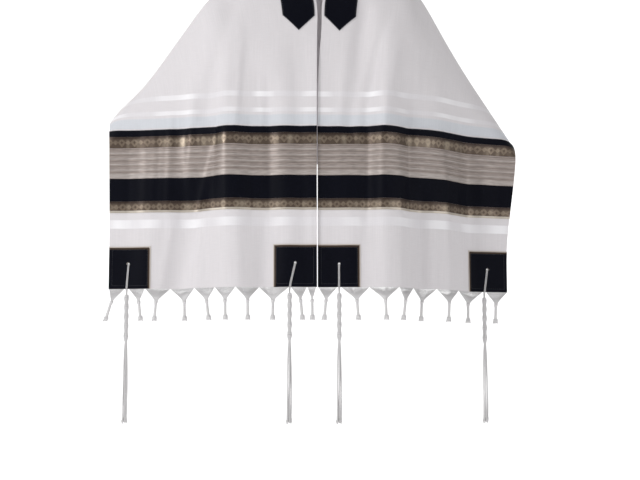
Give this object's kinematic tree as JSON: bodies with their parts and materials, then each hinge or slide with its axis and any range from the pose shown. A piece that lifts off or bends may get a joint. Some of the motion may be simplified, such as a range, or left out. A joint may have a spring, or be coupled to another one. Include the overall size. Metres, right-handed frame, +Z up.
{
  "type": "tallit prayer shawl",
  "caption": "White woven prayer shawl in its worn form, open at neck, front and hem, with striped bands, corner patches, neck band, knotted fringe and corner tassels.",
  "frame": {"origin": "middle of the neck opening, level with the places where the cloth rests beside the neck", "axes": "+Z up, -Y towards the front of the wearer, +X to the right as seen from the front"},
  "size_m": [0.9594, 0.2996, 1.1303],
  "materials": {
    "cloth": "white woven cloth with satin stripes",
    "black_satin": "blue-black satin",
    "bronze_braid": "bronze and gold brocade ribbon",
    "beige_ribbon": "beige ribbon with fine pale lines",
    "white_cord": "twisted white wool cord"
  },
  "bodies": {
    "root": {"cloth_back": "cloth", "cloth_front_left": "cloth", "cloth_front_right": "cloth", "neck_band": "black_satin", "ribbon_left_lower_braid": "bronze_braid", "ribbon_left_black": "black_satin", "ribbon_left_beige": "beige_ribbon", "ribbon_left_upper_braid": "bronze_braid", "ribbon_left_fine_black": "black_satin", "ribbon_right_lower_braid": "bronze_braid", "ribbon_right_black": "black_satin", "ribbon_right_beige": "beige_ribbon", "ribbon_right_upper_braid": "bronze_braid", "ribbon_right_fine_black": "black_satin", "patch_left_inner": "black_satin", "tzitzit_left_inner": "white_cord", "patch_left_outer": "black_satin", "tzitzit_left_outer": "white_cord", "patch_right_inner": "black_satin", "tzitzit_right_inner": "white_cord", "patch_right_outer": "black_satin", "tzitzit_right_outer": "white_cord", "fringe_left": "white_cord", "fringe_right": "white_cord"}
  },
  "joints": []
}
